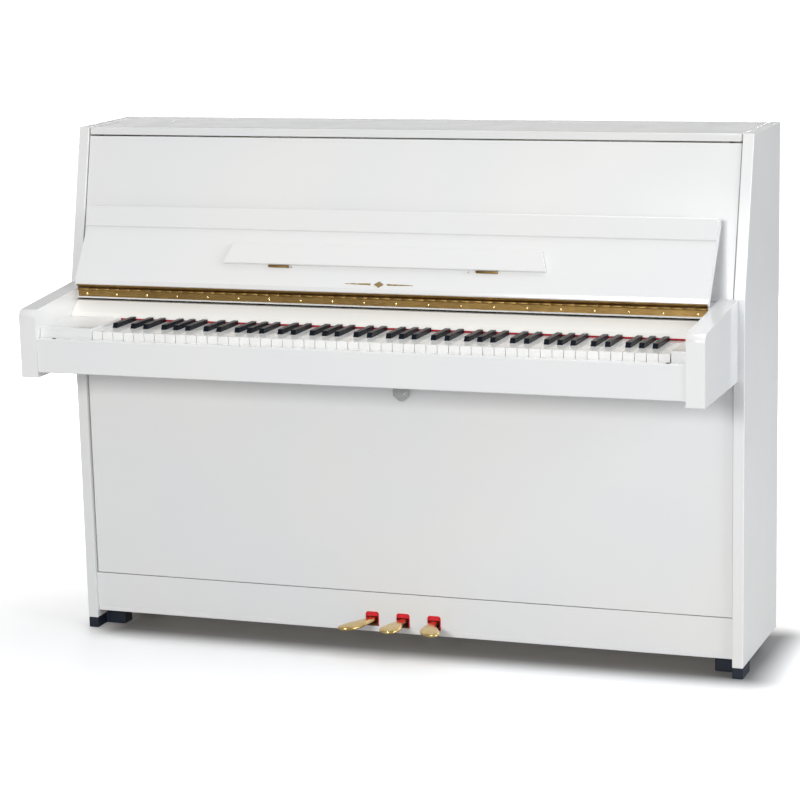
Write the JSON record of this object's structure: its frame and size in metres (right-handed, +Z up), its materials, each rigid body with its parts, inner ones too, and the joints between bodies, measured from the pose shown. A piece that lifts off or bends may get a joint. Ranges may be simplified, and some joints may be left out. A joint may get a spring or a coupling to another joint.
{
  "type": "upright piano",
  "caption": "Low upright piano in a white gloss case: folding key cover with a music ledge, full keyboard, hinged lid, lift-out lower panel and working pedals.",
  "frame": {"origin": "on the floor, under the middle of the case's outer box", "axes": "+Z up, +X towards the treble end along the keyboard, the keyboard faces -Y"},
  "size_m": [1.484, 0.596, 1.105],
  "materials": {
    "white_polyester": "high-gloss white polyester over board",
    "white_key": "gloss",
    "black_key": "satin",
    "brass": "polished",
    "red_felt": "felt",
    "bare_wood": "clear satin",
    "plate_iron": "gold-bronze paint",
    "steel": "bright",
    "action_alloy": "satin",
    "white_felt": "felt",
    "black_foot": "matt",
    "rubber": "matt",
    "grey_plastic": "translucent"
  },
  "bodies": {
    "case": {"side_panel_left": "white_polyester", "side_panel_right": "white_polyester", "arm_left": "white_polyester", "arm_right": "white_polyester", "key_bed": "white_polyester", "key_slip": "white_polyester", "key_blocks": "white_polyester", "fall_shelf": "white_polyester", "name_strip": "white_polyester", "upper_panel": "white_polyester", "toe_rail": "white_polyester", "hinge_fixed_leaf": "brass", "name_strip_felt": "red_felt", "pedal_slot_felts": "red_felt", "bottom_board": "bare_wood", "back_posts": "bare_wood", "back_beams": "bare_wood", "soundboard": "bare_wood", "soundboard_ribs": "bare_wood", "pin_block": "bare_wood", "bridges": "bare_wood", "key_frame": "bare_wood", "action_levers": "bare_wood", "panel_stop_rail": "bare_wood", "iron_plate": "plate_iron", "tuning_pins": "steel", "strings": "steel", "key_pins": "steel", "pedal_brackets": "steel", "action_frame": "action_alloy", "feet": "black_foot", "rubber_bumpers": "rubber"},
    "lid": {"lid": "white_polyester", "lid_hinges": "brass"},
    "key_cover": {"fallboard": "white_polyester", "hinge_moving_leaf": "brass", "ledge_hinges": "brass"},
    "music_ledge": {"music_ledge": "white_polyester"},
    "lower_panel": {"lower_panel": "white_polyester"},
    "panel_catch": {"panel_catch": "grey_plastic"},
    "white_keys": {"white_keys": "white_key"},
    "black_keys": {"black_keys": "black_key"},
    "key_c4": {"key_c4": "white_key"},
    "key_c_sharp4": {"key_c_sharp4": "black_key"},
    "key_d4": {"key_d4": "white_key"},
    "key_d_sharp4": {"key_d_sharp4": "black_key"},
    "key_e4": {"key_e4": "white_key"},
    "pedal_left": {"pedal_left": "brass"},
    "pedal_middle": {"pedal_middle": "brass"},
    "pedal_right": {"pedal_right": "brass"},
    "trap_lever_left": {"trap_lever_left": "bare_wood"},
    "trap_lever_middle": {"trap_lever_middle": "bare_wood"},
    "trap_lever_right": {"trap_lever_right": "bare_wood"},
    "pedal_rod_left": {"pedal_rod_left": "bare_wood"},
    "pedal_rod_middle": {"pedal_rod_middle": "bare_wood"},
    "pedal_rod_right": {"pedal_rod_right": "bare_wood"},
    "dampers": {"dampers": "white_felt"},
    "hammers": {"hammers": "white_felt", "hammer_rest_rail": "bare_wood"},
    "muffler_rail": {"muffler_rail": "white_felt"}
  },
  "joints": [
    {"name": "lid_hinge", "type": "hinge", "parent": "case", "child": "lid", "pos_m": [0, 0.295, 1.087], "axis": [-1, 0, 0], "range_deg": [0, 100]},
    {"name": "key_cover_hinge", "type": "hinge", "parent": "case", "child": "key_cover", "pos_m": [0, -0.1035, 0.777], "axis": [1, 0, 0], "range_deg": [0, 130]},
    {"name": "music_ledge_hinge", "type": "hinge", "parent": "key_cover", "child": "music_ledge", "pos_m": [0, -0.08802, 0.83555], "axis": [-1, 0, 0], "range_deg": [-95, 0]},
    {"name": "lower_panel_tilt", "type": "hinge", "parent": "case", "child": "lower_panel", "pos_m": [0, -0.014, 0.1255], "axis": [1, 0, 0], "range_deg": [0, 10]},
    {"name": "panel_catch_press", "type": "hinge", "parent": "lower_panel", "child": "panel_catch", "pos_m": [0.013, -0.0144, 0.596], "axis": [1, 0, 0], "range_deg": [0, 8], "stiffness_Nm_per_rad": 0.3, "springref_deg": -5.73},
    {"name": "white_keys_dip", "type": "hinge", "parent": "case", "child": "white_keys", "pos_m": [0.043, -0.054, 0.69], "axis": [1, 0, 0], "range_deg": [0, 2.55], "stiffness_Nm_per_rad": 49, "springref_deg": -6.88},
    {"name": "black_keys_dip", "type": "hinge", "parent": "case", "child": "black_keys", "pos_m": [0.043, -0.054, 0.69], "axis": [1, 0, 0], "range_deg": [0, 2.55], "stiffness_Nm_per_rad": 34, "springref_deg": -6.88},
    {"name": "key_c4_dip", "type": "hinge", "parent": "case", "child": "key_c4", "pos_m": [0.043, -0.054, 0.69], "axis": [1, 0, 0], "range_deg": [0, 2.55], "stiffness_Nm_per_rad": 1, "springref_deg": -6.88},
    {"name": "key_c_sharp4_dip", "type": "hinge", "parent": "case", "child": "key_c_sharp4", "pos_m": [0.043, -0.054, 0.69], "axis": [1, 0, 0], "range_deg": [0, 2.55], "stiffness_Nm_per_rad": 1, "springref_deg": -6.88},
    {"name": "key_d4_dip", "type": "hinge", "parent": "case", "child": "key_d4", "pos_m": [0.043, -0.054, 0.69], "axis": [1, 0, 0], "range_deg": [0, 2.55], "stiffness_Nm_per_rad": 1, "springref_deg": -6.88},
    {"name": "key_d_sharp4_dip", "type": "hinge", "parent": "case", "child": "key_d_sharp4", "pos_m": [0.043, -0.054, 0.69], "axis": [1, 0, 0], "range_deg": [0, 2.55], "stiffness_Nm_per_rad": 1, "springref_deg": -6.88},
    {"name": "key_e4_dip", "type": "hinge", "parent": "case", "child": "key_e4", "pos_m": [0.043, -0.054, 0.69], "axis": [1, 0, 0], "range_deg": [0, 2.55], "stiffness_Nm_per_rad": 1, "springref_deg": -6.88},
    {"name": "pedal_left_press", "type": "hinge", "parent": "case", "child": "pedal_left", "pos_m": [-0.068, 0.185, 0.0675], "axis": [1, 0, 0], "range_deg": [0, 3.2], "stiffness_Nm_per_rad": 15, "springref_deg": -17.19},
    {"name": "pedal_middle_press", "type": "hinge", "parent": "case", "child": "pedal_middle", "pos_m": [0.002, 0.185, 0.0675], "axis": [1, 0, 0], "range_deg": [0, 3.2], "stiffness_Nm_per_rad": 15, "springref_deg": -17.19},
    {"name": "pedal_right_press", "type": "hinge", "parent": "case", "child": "pedal_right", "pos_m": [0.072, 0.185, 0.0675], "axis": [1, 0, 0], "range_deg": [0, 3.2], "stiffness_Nm_per_rad": 15, "springref_deg": -17.19},
    {"name": "trap_lever_left_swing", "type": "hinge", "parent": "case", "child": "trap_lever_left", "pos_m": [-0.2, 0.152, 0.1], "axis": [0, 1, 0], "range_deg": [0, 1]},
    {"name": "pedal_rod_left_lift", "type": "slide", "parent": "case", "child": "pedal_rod_left", "axis": [0, 0, 1], "range_m": [0, 0.008]},
    {"name": "trap_lever_middle_swing", "type": "hinge", "parent": "case", "child": "trap_lever_middle", "pos_m": [-0.2, 0.137, 0.1], "axis": [0, 1, 0], "range_deg": [0, 1]},
    {"name": "pedal_rod_middle_lift", "type": "slide", "parent": "case", "child": "pedal_rod_middle", "axis": [0, 0, 1], "range_m": [0, 0.008]},
    {"name": "trap_lever_right_swing", "type": "hinge", "parent": "case", "child": "trap_lever_right", "pos_m": [-0.2, 0.122, 0.1], "axis": [0, 1, 0], "range_deg": [0, 1]},
    {"name": "pedal_rod_right_lift", "type": "slide", "parent": "case", "child": "pedal_rod_right", "axis": [0, 0, 1], "range_m": [0, 0.008]},
    {"name": "damper_lift", "type": "hinge", "parent": "case", "child": "dampers", "pos_m": [0, 0.14, 0.874], "axis": [1, 0, 0], "range_deg": [0, 3.2]},
    {"name": "hammer_approach", "type": "hinge", "parent": "case", "child": "hammers", "pos_m": [0, 0.105, 0.865], "axis": [-1, 0, 0], "range_deg": [0, 6.4]},
    {"name": "muffler_drop", "type": "slide", "parent": "case", "child": "muffler_rail", "axis": [0, 0, -1], "range_m": [0, 0.03]}
  ],
  "couplings": [
    {"joint": "trap_lever_left_swing", "follows": "pedal_left_press", "ratio": 0.25},
    {"joint": "pedal_rod_left_lift", "follows": "pedal_left_press", "m_per_rad": 0.1125},
    {"joint": "trap_lever_middle_swing", "follows": "pedal_middle_press", "ratio": 0.23762},
    {"joint": "pedal_rod_middle_lift", "follows": "pedal_middle_press", "m_per_rad": 0.10693},
    {"joint": "trap_lever_right_swing", "follows": "pedal_right_press", "ratio": 0.23162},
    {"joint": "pedal_rod_right_lift", "follows": "pedal_right_press", "m_per_rad": 0.10423},
    {"joint": "damper_lift", "follows": "pedal_right_press", "ratio": 1},
    {"joint": "hammer_approach", "follows": "pedal_left_press", "ratio": 2},
    {"joint": "muffler_drop", "follows": "pedal_middle_press", "m_per_rad": 0.5}
  ]
}
